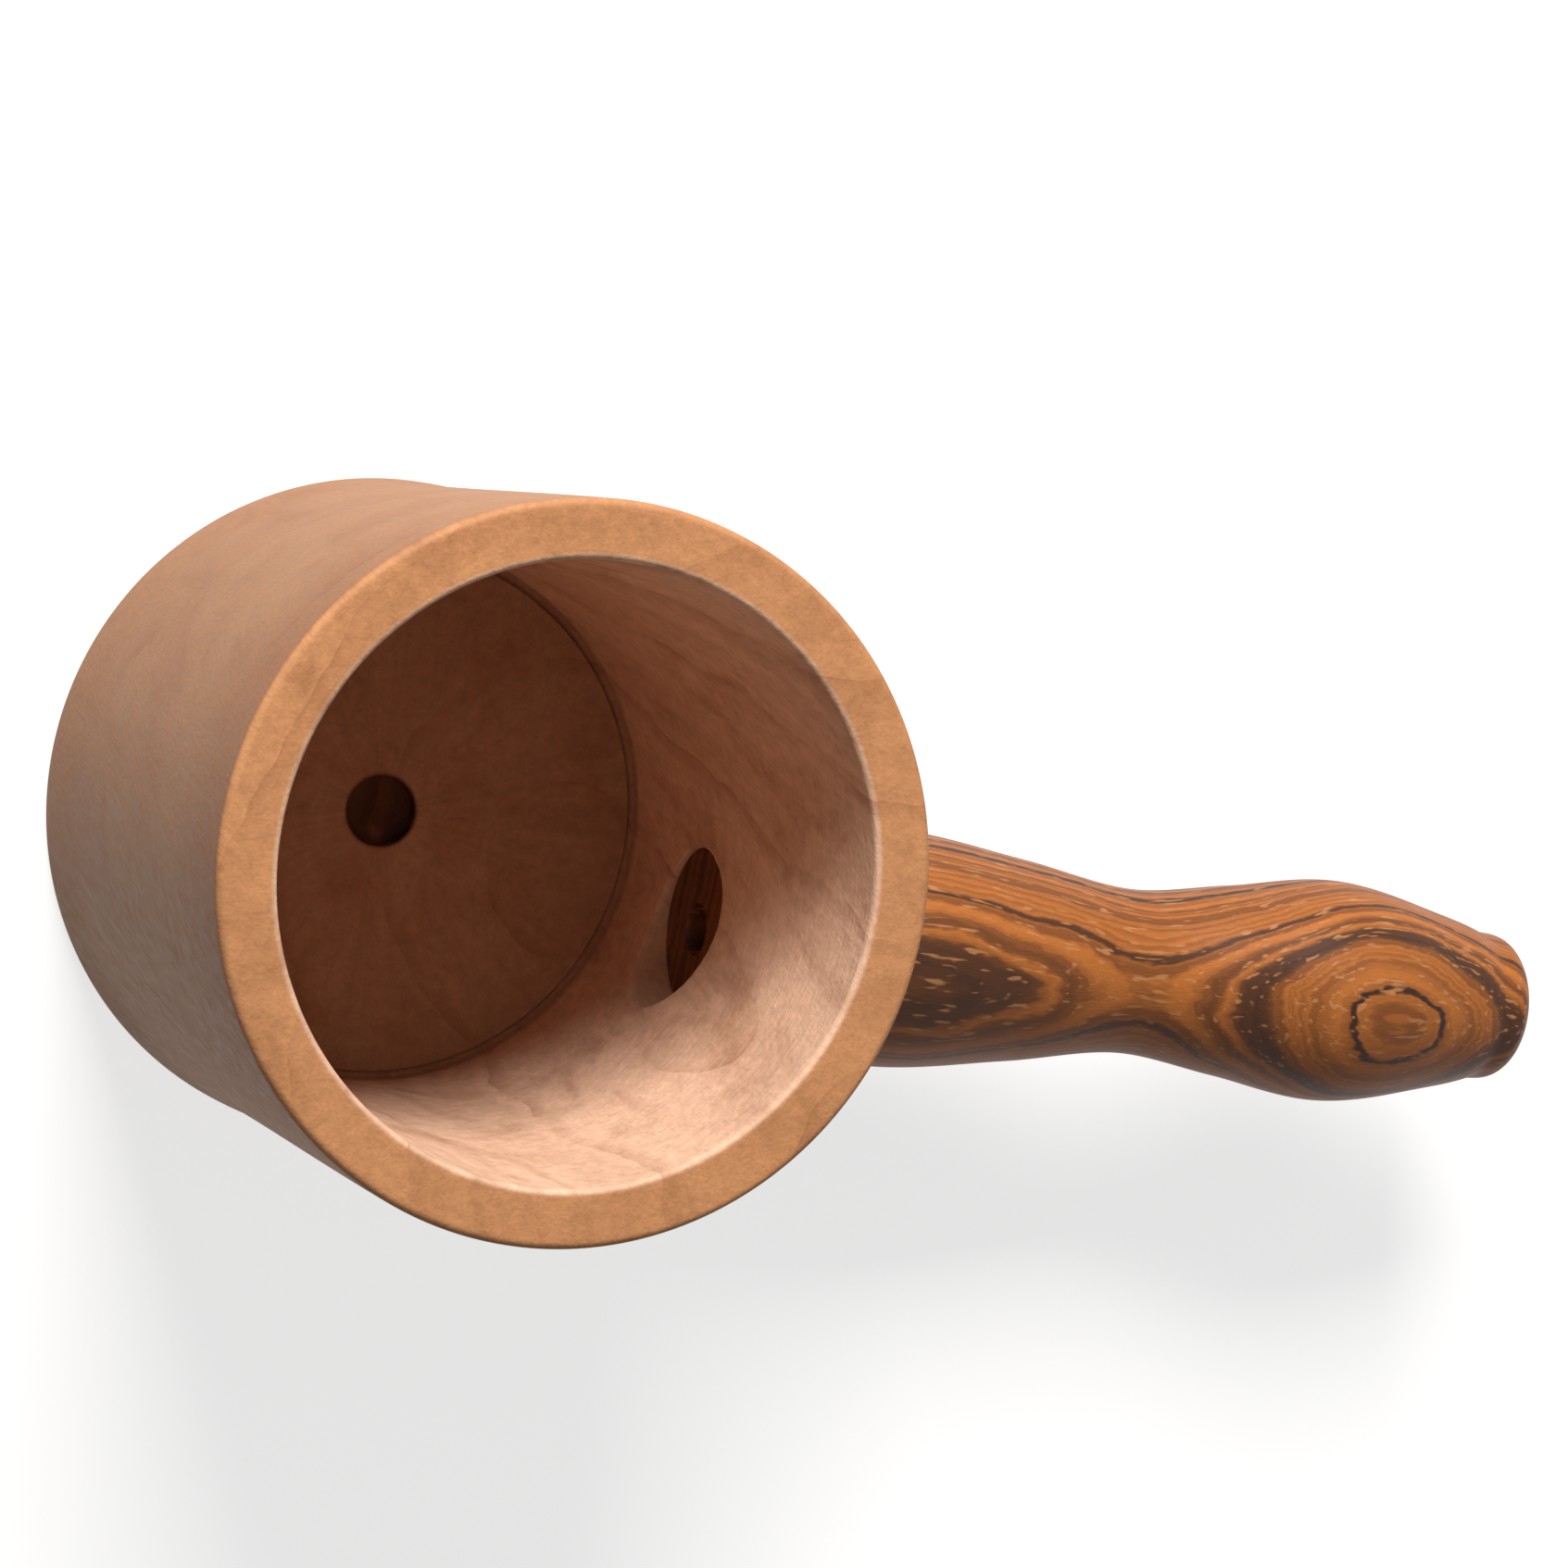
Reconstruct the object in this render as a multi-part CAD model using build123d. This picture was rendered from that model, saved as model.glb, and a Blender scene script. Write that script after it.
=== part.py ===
from build123d import *
from math import sqrt
import os

# A wooden drinking cup: one lathe-turned vessel and one turned handle that is
# glued by a round tenon into a through hole in the vessel's wall.
# Millimetres. +Z runs up the vessel's axis, the origin is the centre of its
# base, and the handle points along +X.

# ---- vessel ----
cup_height = 78.0
cup_radius = 40.0             # outside, at the base and at the mouth
waist_inset = 0.4             # how much the side draws in between them
waist_height = 14.0
wall_thickness = 6.5          # at the mouth
inner_taper = 0.7             # how much narrower the hollow is at its floor
floor_thickness = 4.6
rim_outer_round = 0.9
rim_inner_round = 0.7
base_edge_round = 0.5

# marks that the turning leaves on the floor inside
corner_groove_width = 1.1     # ring where the floor meets the wall
corner_groove_depth = 0.6
pilot_hole_radius = 4.25      # blind hole left by the boring bit
pilot_hole_depth = 2.0

# ---- handle, with its places measured out from the vessel's side ----
handle_height = 27.1          # axis above the base
handle_offset = -8.7          # axis beside the vessel's axis
handle_length = 106.8         # from the side to the tip
root_radius = 13.5            # inside the vessel's outline
shoulder_radius = 13.8
shoulder_out = 3.0
swell_radius = 14.45
swell_out = 19.0
hollow_radius = 12.5          # on the slope down to the neck
hollow_out = 35.0
neck_radius = 10.2
neck_out = 51.5
rise_radius = 12.0            # on the slope up to the grip
rise_out = 65.0
grip_radius = 13.95
grip_out = 79.5
taper_radius = 11.4           # on the slope behind the grip
taper_out = 93.7
tip_radius = 9.65             # where the end begins to round off
tip_length = 6.7
nose_radius = 7.05            # near the very end
nose_length = 1.4

# ---- joint between them ----
tenon_radius = 9.75
glue_gap = 0.08               # all round the tenon
tenon_recess = 0.6            # the tenon's end lies this far behind the inner wall
drive_hole_radius = 3.0       # blind hole left by the lathe's drive centre
drive_hole_depth = 8.0

# ---- worked out from the above ----
waist_radius = cup_radius - waist_inset
inner_rim_radius = cup_radius - wall_thickness
inner_floor_radius = inner_rim_radius - inner_taper
hollow_depth = cup_height - floor_thickness
handle_share = (handle_height - floor_thickness) / hollow_depth
inner_radius_at_handle = inner_floor_radius + inner_taper * handle_share
mortise_radius = tenon_radius + glue_gap
tenon_end = inner_radius_at_handle + tenon_recess
handle_side = abs(handle_offset) + swell_radius
blank_start = sqrt(waist_radius**2 - handle_side**2) - wall_thickness
tip_end = cup_radius + handle_length


def turned(points):
    """Solid of revolution about Z from a closed outline of (radius, height)."""
    outline = Polyline(*[(radius, 0, height) for radius, height in points], close=True)
    return revolve(make_face(outline), Axis.Z)


def ring_at(solid, height, radius):
    """Round edge of a turned solid at one height and one radius."""
    rings = solid.edges().filter_by(GeomType.CIRCLE)
    rings = rings.filter_by(lambda ring: abs(ring.center().Z - height) < 1e-3)
    return rings.filter_by(lambda ring: abs(ring.radius - radius) < 1e-3)


def vessel_blank():
    """Outside of the vessel, with no hollow: a slightly waisted drum."""
    return turned([
        (0, 0),
        (cup_radius, 0),
        (waist_radius, waist_height),
        (cup_radius, cup_height),
        (0, cup_height),
    ])


def hollow():
    """Space inside the vessel, from its floor to the mouth."""
    return turned([
        (0, floor_thickness),
        (inner_floor_radius, floor_thickness),
        (inner_rim_radius, cup_height),
        (0, cup_height),
    ])


def floor_marks():
    """Ring groove at the foot of the inner wall and the pilot hole at the centre."""
    groove_floor = floor_thickness - corner_groove_depth
    groove_inner = inner_floor_radius - corner_groove_width
    groove = turned([
        (groove_inner, groove_floor),
        (inner_floor_radius, groove_floor),
        (inner_floor_radius, floor_thickness),
        (groove_inner, floor_thickness),
    ])
    pilot = Cylinder(
        pilot_hole_radius,
        pilot_hole_depth,
        align=(Align.CENTER, Align.CENTER, Align.MAX),
    )
    return groove + Pos(0, 0, floor_thickness) * pilot


def handle_rod(radius, start, length):
    """Cylinder on the handle's axis that starts at a distance from the vessel's axis."""
    rod = Cylinder(radius, length, align=(Align.CENTER, Align.CENTER, Align.MIN))
    return Pos(start, handle_offset, handle_height) * Rot(0, 90, 0) * rod


def make_cup():
    """Drum with its hollow, rounded edges and floor marks, then the mortise."""
    cup = vessel_blank() - hollow()
    cup = fillet(ring_at(cup, cup_height, cup_radius), rim_outer_round)
    cup = fillet(ring_at(cup, cup_height, inner_rim_radius), rim_inner_round)
    cup = fillet(ring_at(cup, 0, cup_radius), base_edge_round)
    cup = cup - floor_marks()
    return cup - handle_rod(mortise_radius, 0, 2 * cup_radius)


def handle_blank():
    """Turned handle from inside the vessel's outline to the tip, with no tenon."""
    side = Spline(
        (blank_start, root_radius),
        (cup_radius + shoulder_out, shoulder_radius),
        (cup_radius + swell_out, swell_radius),
        (cup_radius + hollow_out, hollow_radius),
        (cup_radius + neck_out, neck_radius),
        (cup_radius + rise_out, rise_radius),
        (cup_radius + grip_out, grip_radius),
        (cup_radius + taper_out, taper_radius),
        (tip_end - tip_length, tip_radius),
        (tip_end - nose_length, nose_radius),
        (tip_end, 0),
        tangents=((1, 0), (0, -1)),
    )
    ends = Polyline((tip_end, 0), (blank_start, 0), (blank_start, root_radius))
    blank = revolve(make_face(side + ends), Axis.X)
    return Pos(0, handle_offset, handle_height) * blank


def make_handle():
    """Handle coped to the vessel's side, with its tenon and the hole in its end."""
    body = handle_blank() - vessel_blank()
    tenon = handle_rod(tenon_radius, tenon_end, cup_radius + swell_out - tenon_end)
    drive_hole = handle_rod(drive_hole_radius, tenon_end, drive_hole_depth)
    return body + tenon - drive_hole


def main():
    os.makedirs("parts", exist_ok=True)
    export_step(make_cup(), "parts/cup.step")
    export_step(make_handle(), "parts/handle.step")


main()
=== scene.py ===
import math

import bpy
import numpy as np
from mathutils import Matrix, Vector


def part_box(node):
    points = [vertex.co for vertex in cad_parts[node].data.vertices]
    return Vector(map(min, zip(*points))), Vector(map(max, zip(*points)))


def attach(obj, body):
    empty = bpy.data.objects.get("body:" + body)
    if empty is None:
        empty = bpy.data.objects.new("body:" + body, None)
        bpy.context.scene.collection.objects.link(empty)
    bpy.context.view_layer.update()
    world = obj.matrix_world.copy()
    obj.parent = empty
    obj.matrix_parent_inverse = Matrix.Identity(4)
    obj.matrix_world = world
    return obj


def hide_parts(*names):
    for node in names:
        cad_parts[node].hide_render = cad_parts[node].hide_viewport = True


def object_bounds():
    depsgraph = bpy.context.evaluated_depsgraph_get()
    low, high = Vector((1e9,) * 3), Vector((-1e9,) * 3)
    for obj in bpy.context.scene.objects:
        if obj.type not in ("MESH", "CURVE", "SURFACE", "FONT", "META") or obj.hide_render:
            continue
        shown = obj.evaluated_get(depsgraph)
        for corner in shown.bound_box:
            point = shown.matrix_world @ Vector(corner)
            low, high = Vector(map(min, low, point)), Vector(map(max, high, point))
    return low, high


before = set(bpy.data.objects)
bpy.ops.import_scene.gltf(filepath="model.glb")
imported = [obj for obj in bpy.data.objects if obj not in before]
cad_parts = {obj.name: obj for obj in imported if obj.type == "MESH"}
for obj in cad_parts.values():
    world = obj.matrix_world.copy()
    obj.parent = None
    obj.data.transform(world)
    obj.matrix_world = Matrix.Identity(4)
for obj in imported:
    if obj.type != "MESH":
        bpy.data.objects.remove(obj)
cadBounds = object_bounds()
cupLow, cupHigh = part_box("cup")
handleLow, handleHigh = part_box("handle")
print("frame loaded:", sorted(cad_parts))

mm = 0.001


def gridFaces(rows, cols):
    # Quads between neighbouring rows and columns of vertices numbered row by row, closed round the columns.
    row, col = np.meshgrid(np.arange(rows - 1), np.arange(cols), indexing="ij")
    after = (col + 1) % cols
    corners = [row * cols + col, row * cols + after, (row + 1) * cols + after, (row + 1) * cols + col]
    return np.stack(corners, -1).reshape(-1, 4)


def fanFaces(ring, pole, poleFirst):
    # Triangles from one pole vertex to a closed ring of vertices, before or after it in the row order.
    after = np.roll(ring, -1)
    middle = np.full_like(ring, pole)
    columns = [middle, after, ring] if poleFirst else [ring, after, middle]
    return np.stack(columns, -1)


def buildMesh(name, points, quads, triangles, material, sharpAngle):
    # Keeps only the vertices that a face uses, then writes the arrays into one smooth-shaded mesh.
    used = np.unique(np.concatenate([quads.ravel(), triangles.ravel()]))
    place = np.zeros(len(points), dtype=int)
    place[used] = np.arange(len(used))
    faces = place[quads].tolist() + place[triangles].tolist()
    mesh = bpy.data.meshes.new(name)
    mesh.from_pydata(points[used].tolist(), [], faces)
    mesh.validate()
    mesh.shade_smooth()
    mesh.set_sharp_from_angle(angle=math.radians(sharpAngle))
    piece = bpy.data.objects.new(name, mesh)
    bpy.context.scene.collection.objects.link(piece)
    mesh.materials.append(material)
    print("made", name, len(mesh.vertices), "vertices", len(mesh.polygons), "faces")
    return piece


def arcPoints(centreRadius, centreHeight, size, start, stop, count):
    # Quarter round in the (radius, height) plane: centre plus size times cosine and sine of the angle.
    turn = np.radians(np.linspace(start, stop, count))
    return centreRadius + size * np.cos(turn), centreHeight + size * np.sin(turn)


def ripple(angle, sizes):
    # Sum of sines of the angle, each with its own whole number of waves and its own start.
    total = np.zeros_like(angle)
    for waves, height, start in sizes:
        total = total + height * np.sin(waves * angle + start)
    return total


cup = {
    "radius": min(cupHigh[0], cupHigh[1], -cupLow[0], -cupLow[1]),
    "height": cupHigh[2],
    "wall": 6.5 * mm,
    "innerTaper": 0.7 * mm,        # hollow is this much narrower at its floor
    "floor": 4.6 * mm,
    "waistInset": 0.4 * mm,        # side draws in between base and lip
    "waistHeight": 14 * mm,
    "lipOuterRound": 0.9 * mm,
    "lipInnerRound": 0.7 * mm,
    "baseRound": 0.5 * mm,
    "grooveWidth": 1.1 * mm,
    "grooveDepth": 0.6 * mm,
    "pilotRadius": 4.25 * mm,
    "pilotDepth": 2 * mm,
    "pilotPoint": 0.5 * mm,        # bit's tip leaves the pilot hole slightly conical
    "mortiseRadius": 9.83 * mm,
    "mortiseLip": 0.2 * mm,        # softened edge of the hole through the wall
    "turns": 360,                  # vertices round the cup
    "sideRows": 72,
    "floorRows": 40,
    "windowRings": 7,
    "boreRings": 9,
}


handle = {
    "axisY": (handleLow[1] + handleHigh[1]) / 2,
    "axisZ": (handleLow[2] + handleHigh[2]) / 2,
    "tip": handleHigh[0],
    "tenonRadius": 9.75 * mm,
    "tenonEnd": 33.6 * mm,
    "driveHoleRadius": 3 * mm,
    "driveHoleDepth": 8 * mm,
    "shoulderGap": 0.03 * mm,
    "turns": 200,
    "bodyRows": 240,
    # distance from the cup's side and radius there, in millimetres
    "outline": [(-12, 13.5), (3, 13.8), (19, 14.45), (35, 12.5), (51.5, 10.2), (65, 12.0),
                (79.5, 13.95), (93.7, 11.4), (100.1, 9.65), (105.4, 7.05), (106.8, 0)],
}


def outerRadius(height):
    # Lip radius less a waist that eases in over the lowest stretch and out again towards the lip.
    low = 0.5 - 0.5 * np.cos(np.pi * np.clip(height / cup["waistHeight"], 0, 1))
    rest = (height - cup["waistHeight"]) / (cup["height"] - cup["waistHeight"])
    high = 0.5 + 0.5 * np.cos(np.pi * np.clip(rest, 0, 1))
    return cup["radius"] - cup["waistInset"] * low * high


def innerRadius(height):
    # Straight taper from the floor's radius to the lip's.
    share = (height - cup["floor"]) / (cup["height"] - cup["floor"])
    return cup["radius"] - cup["wall"] - cup["innerTaper"] * (1 - share)


def handleRadius(x):
    # Cubic through the squared radii of the outline, with mean slopes at the knots, then the square root.
    knots = np.array(handle["outline"]) * mm
    at = handle["tip"] - knots[-1, 0] + knots[:, 0]
    squares = knots[:, 1] ** 2
    slopes = np.gradient(squares, at)
    slopes[-1] = 2 * (squares[-1] - squares[-2]) / (at[-1] - at[-2]) - slopes[-2]
    span = np.clip(np.searchsorted(at, x) - 1, 0, len(at) - 2)
    width = at[span + 1] - at[span]
    t = np.clip((x - at[span]) / width, 0, 1)
    value = squares[span] * (1 + 2 * t) * (1 - t) ** 2 + squares[span + 1] * t * t * (3 - 2 * t)
    value = value + width * t * (1 - t) * (slopes[span] * (1 - t) - slopes[span + 1] * t)
    return np.sqrt(np.clip(value, 0, None))


def cupProfile():
    # Closed section of the turned wall as radius and height, from the underside's centre round to the floor's.
    c = cup
    height, radius = c["height"], c["radius"]
    sides = np.linspace(c["floor"], height - c["lipOuterRound"], c["sideRows"])
    inner = sides[sides < height - c["lipInnerRound"]][1:]
    rimInner = radius - c["wall"]
    floorEdge = innerRadius(c["floor"])
    across = np.linspace(0, 1, 9)[1:]
    parts = {}
    parts["under"] = (np.linspace(2 * mm, radius - c["baseRound"], 16), np.zeros(16))
    parts["foot"] = arcPoints(radius - c["baseRound"], c["baseRound"], c["baseRound"], -75, 0, 6)
    low = np.linspace(c["baseRound"] * 2, c["floor"], 5)[:-1]
    parts["low"] = (outerRadius(low), low)
    parts["outside"] = (outerRadius(sides), sides)
    top = height - c["lipOuterRound"]
    parts["outerLip"] = arcPoints(radius - c["lipOuterRound"], top, c["lipOuterRound"], 15, 90, 7)
    flat = np.linspace(radius - c["lipOuterRound"], rimInner + c["lipInnerRound"], 12)[1:-1]
    parts["rim"] = (flat, np.full(10, height))
    top = height - c["lipInnerRound"]
    parts["innerLip"] = arcPoints(rimInner + c["lipInnerRound"], top, c["lipInnerRound"], 90, 165, 6)
    parts["inside"] = (innerRadius(inner[::-1]), inner[::-1])
    parts["groove"] = (floorEdge - c["grooveWidth"] * across,
                       c["floor"] - c["grooveDepth"] * np.sin(np.pi * across) ** 0.7)
    ground = np.linspace(floorEdge - c["grooveWidth"], c["pilotRadius"] + 0.3 * mm, c["floorRows"])[1:]
    parts["floor"] = (ground, np.full(len(ground), c["floor"]))
    parts["pilotLip"] = arcPoints(c["pilotRadius"] + 0.3 * mm, c["floor"] - 0.3 * mm, 0.3 * mm, 70, 180, 5)
    wall = np.linspace(c["floor"] - 0.5 * mm, c["floor"] - c["pilotDepth"], 6)
    parts["pilotWall"] = (np.full(6, c["pilotRadius"]), wall)
    cone = np.linspace(0.9, 0.15, 6)
    parts["pilotFloor"] = (c["pilotRadius"] * cone, wall[-1] - c["pilotPoint"] * (1 - cone))
    starts, count = {}, 0
    for name, (radii, _) in parts.items():
        starts[name] = count
        count += len(radii)
    radii = np.concatenate([p[0] for p in parts.values()])
    heights = np.concatenate([p[1] for p in parts.values()])
    return radii, heights, starts, sides, inner


def windowRing(rowLow, rowHigh, colLow, colHigh):
    # Rows and columns of the grid vertices round a rectangle, anticlockwise as seen from outside the cup.
    cols = np.arange(colLow, colHigh)
    rows = np.arange(rowLow, rowHigh)
    ringRows = np.concatenate([np.full(len(cols), rowLow), rows, np.full(len(cols), rowHigh), rows[::-1] + 1])
    ringCols = np.concatenate([cols, np.full(len(rows), colHigh), cols[::-1] + 1, np.full(len(rows), colLow)])
    return ringRows, ringCols


def makeCup(material):
    # Section turned about Z on a grid, with a window in both walls that is closed by rings round the mortise.
    c = cup
    radii, heights, starts, sides, inner = cupProfile()
    turns = c["turns"]
    angle = -np.pi + 2 * np.pi * np.arange(turns) / turns
    points = np.stack([radii[:, None] * np.cos(angle), radii[:, None] * np.sin(angle),
                       np.repeat(heights[:, None], turns, 1)], -1)
    floorRows = slice(starts["floor"], starts["pilotLip"])
    points[floorRows, :, 2] += floorRelief(points[floorRows, :, 0], points[floorRows, :, 1])
    points = points.reshape(-1, 3)
    quads = gridFaces(len(radii), turns)

    # window rows and columns: a margin all round the mortise
    margin = 3.5 * mm
    reach = c["mortiseRadius"] + margin
    rowLow = int(np.searchsorted(sides, handle["axisZ"] - reach)) - 1
    rowHigh = int(np.searchsorted(sides, handle["axisZ"] + reach))
    edgeLow = math.asin((handle["axisY"] - reach) / innerRadius(handle["axisZ"]))
    edgeHigh = math.asin((handle["axisY"] + reach) / innerRadius(handle["axisZ"]))
    colLow = int(np.searchsorted(angle, edgeLow)) - 1
    colHigh = int(np.searchsorted(angle, edgeHigh))
    ringRows, ringCols = windowRing(rowLow, rowHigh, colLow, colHigh)
    outerRing = (starts["outside"] + ringRows) * turns + ringCols
    innerRing = (starts["inside"] + len(inner) - ringRows) * turns + ringCols

    faceRow, faceCol = np.divmod(np.arange(len(quads)), turns)
    inCols = (faceCol >= colLow) & (faceCol < colHigh)
    outerRow = faceRow - starts["outside"]
    innerRow = starts["inside"] + len(inner) - 1 - faceRow
    inOuter = (outerRow >= rowLow) & (outerRow < rowHigh)
    inInner = (innerRow >= rowLow) & (innerRow < rowHigh)
    quads = quads[~(inCols & (inOuter | inInner))]

    # direction of every ring column round the bore's own axis
    middle = (outerRadius(handle["axisZ"]) + innerRadius(handle["axisZ"])) / 2
    axisAngle = math.asin(handle["axisY"] / middle)
    around = np.unwrap(np.arctan2(sides[ringRows] - handle["axisZ"], middle * (angle[ringCols] - axisAngle)))
    torn = ripple(around, [(9, 0.035 * mm, 0.4), (17, 0.03 * mm, 2.1), (41, 0.035 * mm, 5), (67, 0.025 * mm, 1)])

    def boreEdge(radius, wallRadius, shift):
        # Point where the bore's line at each direction meets a wall, moved along the bore by shift.
        y = handle["axisY"] + radius * np.cos(around)
        z = handle["axisZ"] + radius * np.sin(around)
        return np.stack([np.sqrt(wallRadius(z) ** 2 - y ** 2) + shift, y, z], -1)

    def wallRings(wallRadius, edge):
        # Blends angle and height from the window's frame to the bore's edge, on the wall's own surface.
        y = handle["axisY"] + edge * np.cos(around)
        z = handle["axisZ"] + edge * np.sin(around)
        turn = np.arcsin(y / wallRadius(z))
        blend = (np.arange(1, c["windowRings"] + 1) / c["windowRings"])[:, None]
        turn = angle[ringCols] * (1 - blend) + turn * blend
        height = sides[ringRows] * (1 - blend) + z * blend
        radius = wallRadius(height)
        return np.stack([radius * np.cos(turn), radius * np.sin(turn), height], -1)

    lip = c["mortiseLip"]
    outer = wallRings(outerRadius, c["mortiseRadius"] + lip)
    inside = wallRings(innerRadius, c["mortiseRadius"] + lip + torn)[::-1]
    outerEdge = boreEdge(c["mortiseRadius"], outerRadius, -lip)
    innerEdge = boreEdge(c["mortiseRadius"] + torn * 0.6, innerRadius, lip)
    innerRound = boreEdge(c["mortiseRadius"] + lip * 0.3 + torn, innerRadius, lip * 0.3)
    blend = np.linspace(0, 1, c["boreRings"])[:, None, None]
    bore = outerEdge * (1 - blend) + innerEdge * blend
    rings = np.concatenate([outer, bore, innerRound[None], inside])
    first = len(points)
    strip = np.concatenate([outerRing, first + np.arange(rings.shape[0] * rings.shape[1]), innerRing])
    ringQuads = strip[gridFaces(rings.shape[0] + 2, rings.shape[1])]
    points = np.concatenate([points, rings.reshape(-1, 3)])

    underPole = [0, 0, 0]
    pilotPole = [0, 0, c["floor"] - c["pilotDepth"] - c["pilotPoint"]]
    points = np.concatenate([points, [underPole, pilotPole]])
    firstRing = np.arange(turns)
    lastRing = (len(radii) - 1) * turns + firstRing
    triangles = np.concatenate([fanFaces(firstRing, len(points) - 2, True),
                                fanFaces(lastRing, len(points) - 1, False)])
    return buildMesh("cup_body", points, np.concatenate([quads, ringQuads]), triangles, material, 40)


relief = {
    "ringHeight": 0.03 * mm,       # low turning rings on the floor inside
    "ringSpacing": 2.6 * mm,
    "patch": (7 * mm, 14 * mm),    # middle of the torn grain
    "patchSize": 6 * mm,
    "patchDepth": 0.12 * mm,
}


def floorRelief(x, y):
    # Low turning rings plus one patch of torn grain, faded out by a smooth bump round the patch's middle.
    spin = np.hypot(x, y)
    rings = relief["ringHeight"] * np.sin(2 * np.pi * spin / relief["ringSpacing"])
    patchX, patchY = relief["patch"]
    fade = np.exp(-((x - patchX) ** 2 + (y - patchY) ** 2) / relief["patchSize"] ** 2)
    torn = np.sin(x / (0.55 * mm) + 1.3 * np.sin(y / (0.9 * mm))) * np.sin(y / (0.7 * mm) + x / (1.4 * mm))
    return rings - relief["patchDepth"] * fade * (0.6 + torn)


def makeHandle(material):
    # Rings round the handle's axis, from the blind hole in the tenon's end out over the shoulder to the tip.
    h = handle
    around = 2 * np.pi * np.arange(h["turns"]) / h["turns"]
    across, up = np.cos(around), np.sin(around)

    def ring(x, radius):
        # Circle of that radius round the axis, x given once or for every direction.
        x = np.broadcast_to(x, around.shape)
        return np.stack([x, h["axisY"] + radius * across, h["axisZ"] + radius * up], -1)

    def onCup(radius):
        # Distance along the axis at which a line at that radius meets the cup's side.
        y = h["axisY"] + radius * across
        z = h["axisZ"] + radius * up
        return np.sqrt(outerRadius(z) ** 2 - y ** 2) + h["shoulderGap"]

    start = onCup(handleRadius(np.array(cup["radius"])))
    for _ in range(6):
        start = onCup(handleRadius(start))
    shoulder = handleRadius(start)

    rings = []
    holeEnd = h["tenonEnd"] + h["driveHoleDepth"]
    for share in (0.1, 0.5, 0.95):
        rings.append(ring(holeEnd + 0.6 * mm * (1 - share), h["driveHoleRadius"] * share))
    for share in np.linspace(1, 0.06, 8):
        rings.append(ring(h["tenonEnd"] + h["driveHoleDepth"] * share, h["driveHoleRadius"]))
    for share in np.linspace(0, 1, 14) ** 0.9:
        radius = h["driveHoleRadius"] + 0.2 * mm + (h["tenonRadius"] - 0.5 * mm - h["driveHoleRadius"]) * share
        rings.append(ring(h["tenonEnd"], radius))
    rings.append(ring(h["tenonEnd"] + 0.1 * mm, h["tenonRadius"] - 0.1 * mm))
    neckEnd = onCup(h["tenonRadius"])
    for share in np.linspace(0.05, 1, 7):
        rings.append(ring(h["tenonEnd"] * (1 - share) + neckEnd * share, h["tenonRadius"]))
    for share in np.linspace(0.15, 0.97, 6):
        radius = h["tenonRadius"] * (1 - share) + shoulder * share
        rings.append(ring(onCup(radius), radius))
    for share in np.sin(np.linspace(0, 1, h["bodyRows"]) * np.pi / 2)[:-1]:
        x = start + (h["tip"] - start) * share
        rings.append(ring(x, handleRadius(x)))
    rings = np.array(rings)
    count, turns = rings.shape[:2]
    poles = [[holeEnd + 0.6 * mm, h["axisY"], h["axisZ"]], [h["tip"], h["axisY"], h["axisZ"]]]
    points = np.concatenate([rings.reshape(-1, 3), poles])
    firstRing = np.arange(turns)
    triangles = np.concatenate([fanFaces(firstRing, len(points) - 2, True),
                                fanFaces((count - 1) * turns + firstRing, len(points) - 1, False)])
    return buildMesh("handle_body", points, gridFaces(count, turns), triangles, material, 40)


def newMaterial(name):
    # Empty node material with one Principled shader wired to the output.
    material = bpy.data.materials.new(name)
    material.use_nodes = True
    tree = material.node_tree
    tree.nodes.clear()
    output = tree.nodes.new("ShaderNodeOutputMaterial")
    shader = tree.nodes.new("ShaderNodeBsdfPrincipled")
    tree.links.new(shader.outputs["BSDF"], output.inputs["Surface"])
    return material, tree, shader


def plug(tree, node, values):
    # Sets each named or numbered input, by a link where the value is another node's output.
    for key, value in values.items():
        if isinstance(value, bpy.types.NodeSocket):
            tree.links.new(value, node.inputs[key])
        else:
            node.inputs[key].default_value = value
    return node


def objectSpace(tree, centre, turn):
    # Object coordinates in millimetres, measured from a centre and turned by three angles in degrees.
    texture = tree.nodes.new("ShaderNodeTexCoord")
    mapping = tree.nodes.new("ShaderNodeMapping")
    mapping.vector_type = "TEXTURE"
    plug(tree, mapping, {"Vector": texture.outputs["Object"], "Location": centre,
                         "Rotation": [math.radians(a) for a in turn], "Scale": (mm, mm, mm)})
    return mapping.outputs["Vector"]


def calc(tree, kind, *values, clamp=False):
    # One math node.
    node = tree.nodes.new("ShaderNodeMath")
    node.operation = kind
    node.use_clamp = clamp
    return plug(tree, node, dict(enumerate(values))).outputs[0]


def split(tree, vector):
    # X, Y and Z of a vector.
    node = plug(tree, tree.nodes.new("ShaderNodeSeparateXYZ"), {0: vector})
    return node.outputs[0], node.outputs[1], node.outputs[2]


def join(tree, x, y, z):
    # Vector from three values.
    return plug(tree, tree.nodes.new("ShaderNodeCombineXYZ"), {0: x, 1: y, 2: z}).outputs[0]


def stretched(tree, vector, sizes):
    # Vector whose axes are divided by the sizes in millimetres, so that noise features get those lengths.
    node = tree.nodes.new("ShaderNodeVectorMath")
    node.operation = "DIVIDE"
    return plug(tree, node, {0: vector, 1: sizes}).outputs[0]


def noise(tree, vector, scale=1.0, detail=2.0, rough=0.5, distort=0.0):
    # Noise value around one half.
    node = tree.nodes.new("ShaderNodeTexNoise")
    values = {"Vector": vector, "Scale": scale, "Detail": detail, "Roughness": rough, "Distortion": distort}
    return plug(tree, node, values).outputs["Fac"]


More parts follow.
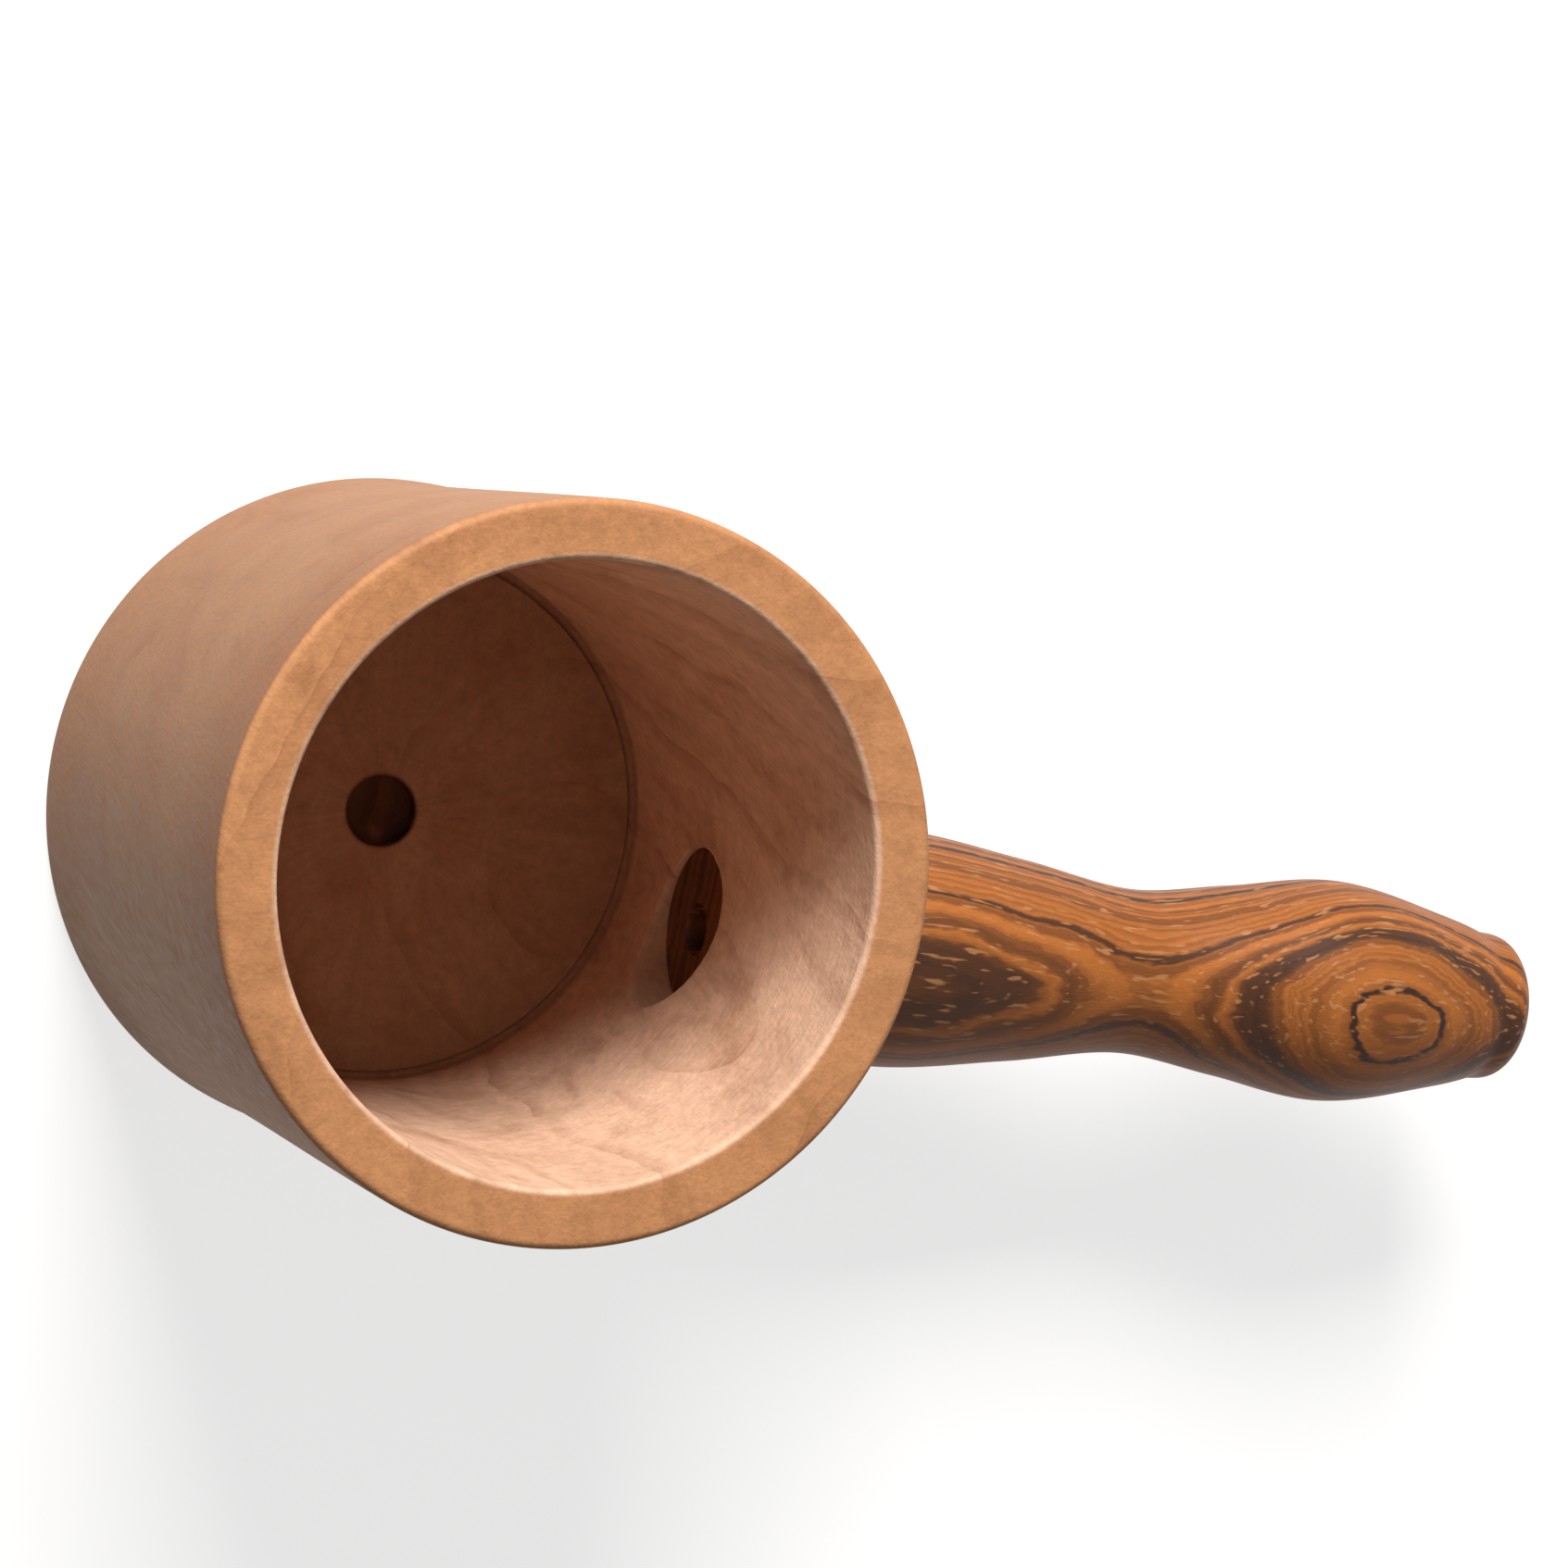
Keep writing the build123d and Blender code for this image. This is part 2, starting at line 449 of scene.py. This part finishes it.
def noiseAlong(tree, value, detail=1.0):
    # Noise of a single running value.
    node = tree.nodes.new("ShaderNodeTexNoise")
    node.noise_dimensions = "1D"
    return plug(tree, node, {"W": value, "Scale": 1.0, "Detail": detail}).outputs["Fac"]


def remap(tree, value, low, high, toLow=0.0, toHigh=1.0, smooth=True):
    # Value moved from one range to another and held at its ends.
    node = tree.nodes.new("ShaderNodeMapRange")
    node.interpolation_type = "SMOOTHSTEP" if smooth else "LINEAR"
    return plug(tree, node, {0: value, 1: low, 2: high, 3: toLow, 4: toHigh}).outputs[0]


def mixed(tree, share, first, second):
    # Two colours mixed by a share.
    node = tree.nodes.new("ShaderNodeMix")
    node.data_type = "RGBA"
    node.clamp_factor = True
    return plug(tree, node, {0: share, 6: first, 7: second}).outputs[2]


def tone(red, green, blue):
    # Linear colour from screen values of 0 to 255.
    return tuple(((v / 255 + 0.055) / 1.055) ** 2.4 for v in (red, green, blue)) + (1.0,)


def bump(tree, heights):
    # Chain of bump nodes, one for each (height, distance in metres).
    normal = None
    for height, distance in heights:
        values = {"Height": height, "Distance": distance, "Strength": 1.0}
        if normal is not None:
            values["Normal"] = normal
        normal = plug(tree, tree.nodes.new("ShaderNodeBump"), values).outputs["Normal"]
    return normal


cupWood = {
    "rim": tone(198, 138, 92),
    "inner": tone(226, 184, 154),
    "floor": tone(176, 134, 104),
    # pilot hole's dark tone: partly the wood's own tone, partly painted shade of the recess
    "pilot": tone(62, 34, 20),
    "outer": tone(172, 124, 88),
    "growthLine": tone(140, 82, 50),
    # flame colour, also used for the darker band under the lip that is partly painted shade
    "flame": tone(150, 98, 64),
    "pith": (37 * mm, -29 * mm, 78 * mm),   # heart of the tree, beside the lip
    "grainTurn": (18, 10, 0),               # degrees that the fibres lean off the cup's axis
    "ringSpacing": 14.0,
    "rimStart": (77.0, 77.7),               # heights over which the lip's tone comes in
    "lipBand": (58.0, 75.0),                # heights over which the outside darkens to the lip, partly painted shade
    "lipBandSide": (-14.0, -34.0),          # and across X, away from the handle
    "roughness": 0.55,
    "specular": 0.22,
}


def makeCupWood():
    # Growth rings round a leaning pith, cloudy flame, short fibres, turning marks, one tone for each face,
    # a dark pilot hole and a darker band under the lip, each partly the wood's tone and partly painted shade.
    w = cupWood
    material, tree, shader = newMaterial("cupWood")
    place = objectSpace(tree, (0, 0, 0), (0, 0, 0))
    grain = objectSpace(tree, w["pith"], w["grainTurn"])
    x, y, z = split(tree, place)
    spin = calc(tree, "SQRT", calc(tree, "ADD", calc(tree, "MULTIPLY", x, x), calc(tree, "MULTIPLY", y, y)))

    # masks for the faces, softened where they meet
    rimMask = remap(tree, z, *w["rimStart"])
    inside = remap(tree, spin, 34.4, 33.7)
    floorMask = calc(tree, "MULTIPLY", remap(tree, z, 6.2, 4.7), inside)
    bore = calc(tree, "MULTIPLY", remap(tree, spin, 33.6, 34.0), remap(tree, spin, 39.2, 38.8))
    bore = calc(tree, "MULTIPLY", bore, remap(tree, z, 60.0, 58.0))
    cutFace = calc(tree, "MAXIMUM", inside, bore)

    # rings of growth
    wander = noise(tree, grain, 0.035, 3.0, 0.55)
    gx, gy, gz = split(tree, grain)
    squares = calc(tree, "ADD", calc(tree, "MULTIPLY", gx, gx), calc(tree, "MULTIPLY", gy, gy))
    ringRadius = calc(tree, "SQRT", squares)
    ringPlace = calc(tree, "ADD", ringRadius, calc(tree, "MULTIPLY", wander, 9.0))
    ringShare = calc(tree, "FRACT", calc(tree, "DIVIDE", ringPlace, w["ringSpacing"]))
    lateWood = calc(tree, "POWER", ringShare, 14.0)
    edgeBreak = remap(tree, noise(tree, grain, 0.11, 2.0), 0.42, 0.62)
    growth = calc(tree, "MULTIPLY", lateWood, calc(tree, "ADD", 0.25, calc(tree, "MULTIPLY", edgeBreak, 0.75)))
    ringTone = noiseAlong(tree, calc(tree, "DIVIDE", ringPlace, 7.0), 2.0)

    # cloudy flame and short fibres
    flame = noise(tree, stretched(tree, grain, (9, 9, 26)), 1.0, 4.0, 0.6, 0.6)
    fibre = noise(tree, stretched(tree, grain, (0.45, 0.45, 3.2)), 1.0, 3.0, 0.6)
    mottle = noise(tree, stretched(tree, grain, (1.3, 1.3, 2.4)), 1.0, 3.0, 0.65)

    # marks round the cup left by the turning tool: noise of the direction and the height
    turnX, turnY = calc(tree, "DIVIDE", x, spin), calc(tree, "DIVIDE", y, spin)
    aroundInside = join(tree, calc(tree, "MULTIPLY", turnX, 12.0), calc(tree, "MULTIPLY", turnY, 12.0),
                        calc(tree, "MULTIPLY", z, 1.9))
    fuzz = noise(tree, aroundInside, 1.0, 3.0, 0.6)
    fuzz = calc(tree, "MULTIPLY", calc(tree, "SUBTRACT", fuzz, 0.5), inside)

    base = mixed(tree, rimMask, w["outer"], w["rim"])
    # darker band under the lip, away from the handle: partly the wood's tone, partly painted shade
    lipBand = calc(tree, "MULTIPLY", remap(tree, z, *w["lipBand"]), remap(tree, x, *w["lipBandSide"]))
    lipBand = calc(tree, "MULTIPLY", lipBand, calc(tree, "SUBTRACT", 1.0, rimMask))
    base = mixed(tree, calc(tree, "MULTIPLY", lipBand, 0.6), base, w["flame"])
    base = mixed(tree, cutFace, base, w["inner"])
    base = mixed(tree, floorMask, base, w["floor"])
    # dark pilot hole: partly the wood's tone, partly painted shade of the recess
    pilotToneAndShadeMask = calc(tree, "MULTIPLY", remap(tree, spin, 4.9, 4.2), remap(tree, z, 5.0, 4.5))
    base = mixed(tree, pilotToneAndShadeMask, base, w["pilot"])
    base = mixed(tree, remap(tree, flame, 0.45, 0.75, 0.0, 0.5), base, w["flame"])
    base = mixed(tree, calc(tree, "MULTIPLY", remap(tree, ringTone, 0.35, 0.7), 0.22), base, w["flame"])
    base = mixed(tree, calc(tree, "MULTIPLY", growth, 0.4), base, w["growthLine"])
    speck = calc(tree, "ADD", calc(tree, "MULTIPLY", calc(tree, "SUBTRACT", mottle, 0.5), 0.5),
                 calc(tree, "MULTIPLY", calc(tree, "SUBTRACT", fibre, 0.5), 0.35))
    speck = calc(tree, "ADD", speck, calc(tree, "MULTIPLY", fuzz, 0.35))
    light = calc(tree, "ADD", 1.0, speck)
    colour = plug(tree, tree.nodes.new("ShaderNodeVectorMath"), {0: base})
    colour.operation = "SCALE"
    plug(tree, colour, {"Scale": light})

    rough = calc(tree, "ADD", w["roughness"], calc(tree, "MULTIPLY", cutFace, 0.22))
    rough = calc(tree, "ADD", rough, calc(tree, "MULTIPLY", calc(tree, "SUBTRACT", mottle, 0.5), 0.3), clamp=True)
    normal = bump(tree, [(fibre, 0.05 * mm), (mottle, 0.08 * mm), (fuzz, 0.12 * mm)])
    plug(tree, shader, {"Base Color": colour.outputs[0], "Roughness": rough, "Normal": normal,
                        "IOR": 1.45, "Specular IOR Level": w["specular"]})
    return material


handleWood = {
    "gold": tone(174, 102, 46),
    "brown": tone(126, 72, 34),
    "dark": tone(52, 30, 20),
    "fleck": tone(188, 130, 84),
    "tenonEnd": tone(78, 46, 30),
    "layerTurn": (11.5, 0, 0),       # degrees that the growth layers roll round the handle
    "eyeAt": 129.0,                  # millimetres along X where the layers dome up
    "eyeRise": 5.6,
    "eyeLength": 25.0,
    # height of a dark layer in the domed layer space, half its width and how dark it is
    "layers": [(18.05, 0.13, 1.0), (13.8, 0.75, 0.9), (12.3, 0.25, 0.6), (9.8, 0.28, 0.9), (6.4, 0.35, 0.55),
               (4.6, 0.2, 0.5), (2.6, 0.4, 0.95), (0.6, 0.3, 0.6), (-1.8, 0.9, 0.9), (-4.4, 0.3, 0.7),
               (-6.5, 0.6, 0.9), (-9.0, 0.3, 0.6), (-11.6, 0.9, 0.9)],
    "tenonShade": (35.6, 33.9),      # millimetres along X over which the end grain darkens
    "roughness": 0.38,
    "specular": 0.22,
}


def makeHandleWood():
    # Growth layers across the handle that dome up at one place, dark bands at set heights, pale dashes,
    # and a darker end grain on the tenon.
    w = handleWood
    material, tree, shader = newMaterial("handleWood")
    centre = (0, handle["axisY"], handle["axisZ"])
    grain = objectSpace(tree, centre, w["layerTurn"])
    x, y, z = split(tree, grain)
    along = calc(tree, "DIVIDE", calc(tree, "SUBTRACT", x, w["eyeAt"]), w["eyeLength"])
    dome = calc(tree, "EXPONENT", calc(tree, "MULTIPLY", calc(tree, "MULTIPLY", along, along), -1.0))
    level = calc(tree, "ADD", z, calc(tree, "MULTIPLY", dome, w["eyeRise"]))
    wander = noise(tree, stretched(tree, grain, (22, 7, 7)), 1.0, 3.0, 0.5)
    ragged = noise(tree, stretched(tree, grain, (2.6, 0.9, 0.9)), 1.0, 2.0, 0.5)
    level = calc(tree, "ADD", level, calc(tree, "MULTIPLY", calc(tree, "SUBTRACT", wander, 0.5), 2.2))
    rough = calc(tree, "ADD", level, calc(tree, "MULTIPLY", calc(tree, "SUBTRACT", ragged, 0.5), 0.5))

    dark = None
    for height, half, strength in w["layers"]:
        away = calc(tree, "ABSOLUTE", calc(tree, "SUBTRACT", rough, height))
        band = remap(tree, away, half * 1.7, half * 0.4, 0.0, strength)
        dark = band if dark is None else calc(tree, "MAXIMUM", dark, band)

    # finer lines between the bands, and dashes along the fibres
    fine = noiseAlong(tree, calc(tree, "MULTIPLY", rough, 1.3), 3.0)
    dashSpace = join(tree, calc(tree, "DIVIDE", x, 4.0), calc(tree, "DIVIDE", y, 0.8),
                     calc(tree, "DIVIDE", level, 0.35))
    dash = noise(tree, dashSpace, 1.0, 1.0, 0.4)
    dashes = remap(tree, dash, 0.6, 0.72)
    pores = noise(tree, stretched(tree, grain, (2.5, 0.16, 0.16)), 1.0, 2.0, 0.6)

    colour = mixed(tree, remap(tree, fine, 0.35, 0.7), w["gold"], w["brown"])
    colour = mixed(tree, dark, colour, w["dark"])
    colour = mixed(tree, calc(tree, "MULTIPLY", dashes, 0.65), colour, w["fleck"])
    colour = mixed(tree, remap(tree, x, *w["tenonShade"], 0.0, 0.65), colour, w["tenonEnd"])
    light = calc(tree, "ADD", 1.0, calc(tree, "MULTIPLY", calc(tree, "SUBTRACT", pores, 0.5), 0.5))
    shaded = plug(tree, tree.nodes.new("ShaderNodeVectorMath"), {0: colour})
    shaded.operation = "SCALE"
    plug(tree, shaded, {"Scale": light})
    surface = calc(tree, "ADD", w["roughness"], calc(tree, "MULTIPLY", pores, 0.15))
    normal = bump(tree, [(pores, 0.04 * mm), (dashes, 0.01 * mm)])
    plug(tree, shader, {"Base Color": shaded.outputs[0], "Roughness": surface, "Normal": normal,
                        "IOR": 1.48, "Specular IOR Level": w["specular"]})
    return material


cupPiece = makeCup(makeCupWood())
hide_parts("cup")
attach(cupPiece, "root")

handlePiece = makeHandle(makeHandleWood())
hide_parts("handle")
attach(handlePiece, "root")
print("pieces placed")


studio = {
    "floorSize": 6.0,
    "floorColour": (0.42, 0.41, 0.40, 1.0),
    "floorGlow": 0.72,
    "floorBounce": (0.16, 0.155, 0.15, 1.0),
    "worldStrength": 0.16,
    "keyFrom": (-0.18, 0.85, 0.64),     # direction from the cup to the key lamp
    "keyDistance": 1.3,
    "keySize": 0.55,
    "keyPower": 26.5,
    "azimuth": 173.61,                  # degrees from +X to the camera, round +Z
    "elevation": 67.18,
    "roll": 103.31,
    "distance": 0.5206,
    "lens": 102.33,
    "aimShift": (-0.01594, 0.01023, 0.0),
}


def seenDirectly(tree):
    # One for camera, glossy and transmission rays, zero for the rest.
    rays = tree.nodes.new("ShaderNodeLightPath")
    seen = calc(tree, "MAXIMUM", rays.outputs["Is Camera Ray"], rays.outputs["Is Glossy Ray"])
    return calc(tree, "MAXIMUM", seen, rays.outputs["Is Transmission Ray"])


def makeFloor():
    # One large square under the object, white where it is seen and lit, and darker to the light it throws back.
    material, tree, shader = newMaterial("floorPaper")
    seen = seenDirectly(tree)
    paper = mixed(tree, seen, studio["floorBounce"], studio["floorColour"])
    plug(tree, shader, {"Base Color": paper, "Roughness": 0.9, "Specular IOR Level": 0.0})
    glow = plug(tree, tree.nodes.new("ShaderNodeEmission"),
                {"Color": (1, 1, 1, 1), "Strength": studio["floorGlow"]})
    both = plug(tree, tree.nodes.new("ShaderNodeAddShader"), {0: shader.outputs[0], 1: glow.outputs[0]})
    choice = plug(tree, tree.nodes.new("ShaderNodeMixShader"),
                  {0: seen, 1: shader.outputs[0], 2: both.outputs[0]})
    output = next(n for n in tree.nodes if n.bl_idname == "ShaderNodeOutputMaterial")
    tree.links.new(choice.outputs[0], output.inputs["Surface"])
    half = studio["floorSize"] / 2
    mesh = bpy.data.meshes.new("floor")
    mesh.from_pydata([(-half, -half, 0), (half, -half, 0), (half, half, 0), (-half, half, 0)], [], [(0, 1, 2, 3)])
    mesh.materials.append(material)
    floor = bpy.data.objects.new("floor", mesh)
    bpy.context.scene.collection.objects.link(floor)


def makeWorld():
    # Even white sky, weaker as a light than as it is seen.
    world = bpy.data.worlds.new("studioWorld")
    bpy.context.scene.world = world
    world.use_nodes = True
    tree = world.node_tree
    tree.nodes.clear()
    soft = plug(tree, tree.nodes.new("ShaderNodeBackground"), {0: (1, 1, 1, 1), 1: studio["worldStrength"]})
    white = plug(tree, tree.nodes.new("ShaderNodeBackground"), {0: (1, 1, 1, 1), 1: 1.0})
    choice = plug(tree, tree.nodes.new("ShaderNodeMixShader"),
                  {0: seenDirectly(tree), 1: soft.outputs[0], 2: white.outputs[0]})
    output = tree.nodes.new("ShaderNodeOutputWorld")
    tree.links.new(choice.outputs[0], output.inputs["Surface"])


def makeKeyLamp():
    # One square area lamp that looks at the middle of the cup.
    aim = Vector((0, 0, cup["height"] / 2))
    direction = Vector(studio["keyFrom"]).normalized()
    lamp = bpy.data.lights.new("keyLamp", "AREA")
    lamp.shape = "SQUARE"
    lamp.size = studio["keySize"]
    lamp.energy = studio["keyPower"]
    thing = bpy.data.objects.new("keyLamp", lamp)
    thing.rotation_euler = direction.to_track_quat("Z", "Y").to_euler()
    thing.location = aim + direction * studio["keyDistance"]
    bpy.context.scene.collection.objects.link(thing)


def makeCamera():
    # Camera on a sphere round a point near the object's middle, rolled about its own line of sight.
    s = studio
    azimuth, elevation, roll = (math.radians(s[key]) for key in ("azimuth", "elevation", "roll"))
    back = Vector((math.cos(elevation) * math.cos(azimuth), math.cos(elevation) * math.sin(azimuth),
                   math.sin(elevation)))
    levelRight = Vector((0, 0, 1)).cross(back).normalized()
    levelUp = back.cross(levelRight)
    right = levelRight * math.cos(roll) + levelUp * math.sin(roll)
    up = levelUp * math.cos(roll) - levelRight * math.sin(roll)
    middle = (Vector(cadBounds[0]) + Vector(cadBounds[1])) / 2
    place = middle + Vector(s["aimShift"]) + back * s["distance"]
    lens = bpy.data.cameras.new("camera")
    lens.lens = s["lens"]
    lens.sensor_width = 36.0
    lens.clip_start = 0.01
    camera = bpy.data.objects.new("camera", lens)
    turn = Matrix((right, up, back)).transposed().to_4x4()
    camera.matrix_world = Matrix.Translation(place) @ turn
    bpy.context.scene.collection.objects.link(camera)
    bpy.context.scene.camera = camera


makeFloor()
makeWorld()
makeKeyLamp()
makeCamera()
bpy.context.scene.view_settings.view_transform = "Standard"
print("studio ready")
